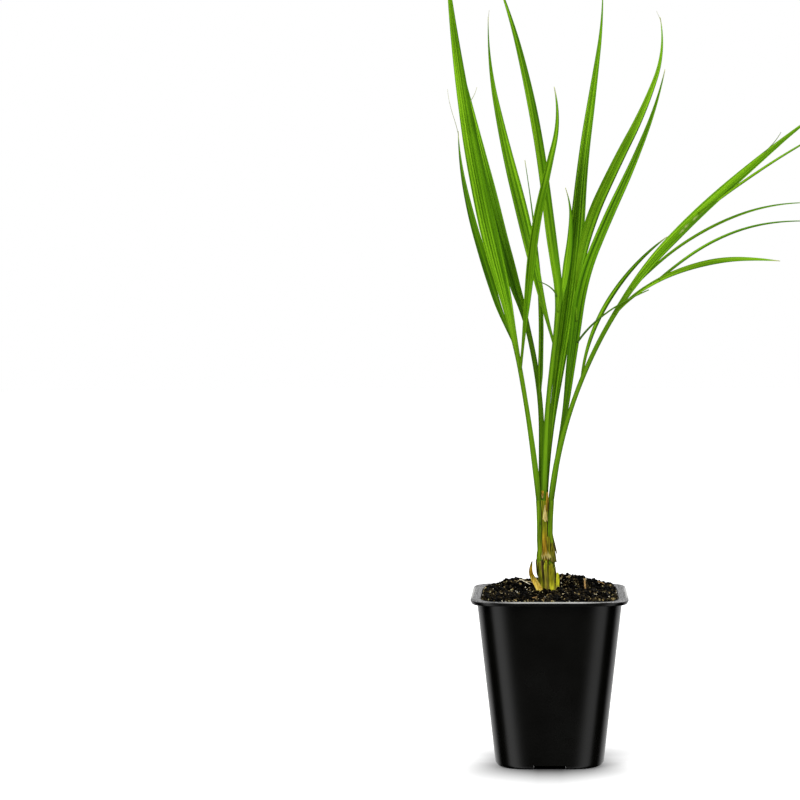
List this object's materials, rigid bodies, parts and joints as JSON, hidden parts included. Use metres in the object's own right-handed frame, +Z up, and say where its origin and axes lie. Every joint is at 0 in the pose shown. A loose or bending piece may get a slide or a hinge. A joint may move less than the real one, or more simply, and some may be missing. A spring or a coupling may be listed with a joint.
{
  "type": "potted pygmy date palm",
  "caption": "Young pygmy date palm with upright arching fronds and a short sheathed stem, in a tapered square nursery pot filled with soil",
  "frame": {"origin": "middle of the pot's flat underside, on the surface that the pot stands on", "axes": "+Z up, +X to the right as seen from the front, +Y away from the front, square to the pot's sides"},
  "size_m": [0.2244, 0.0908, 0.4645],
  "materials": {
    "pot_plastic": "satin",
    "soil": "matte",
    "stem_sheath": "satin",
    "dried_sheath": "matte",
    "leaf": "satin"
  },
  "bodies": {
    "root": {"pot": "pot_plastic", "soil": "soil", "stem": "stem_sheath", "dried_scale": "dried_sheath", "yellow_scale": "dried_sheath", "frond_left": "leaf", "frond_rear_left": "leaf", "frond_middle": "leaf", "frond_newest": "leaf", "frond_upright_right": "leaf", "frond_outer_right_petiole": "leaf", "frond_outer_right": "leaf"}
  },
  "joints": []
}
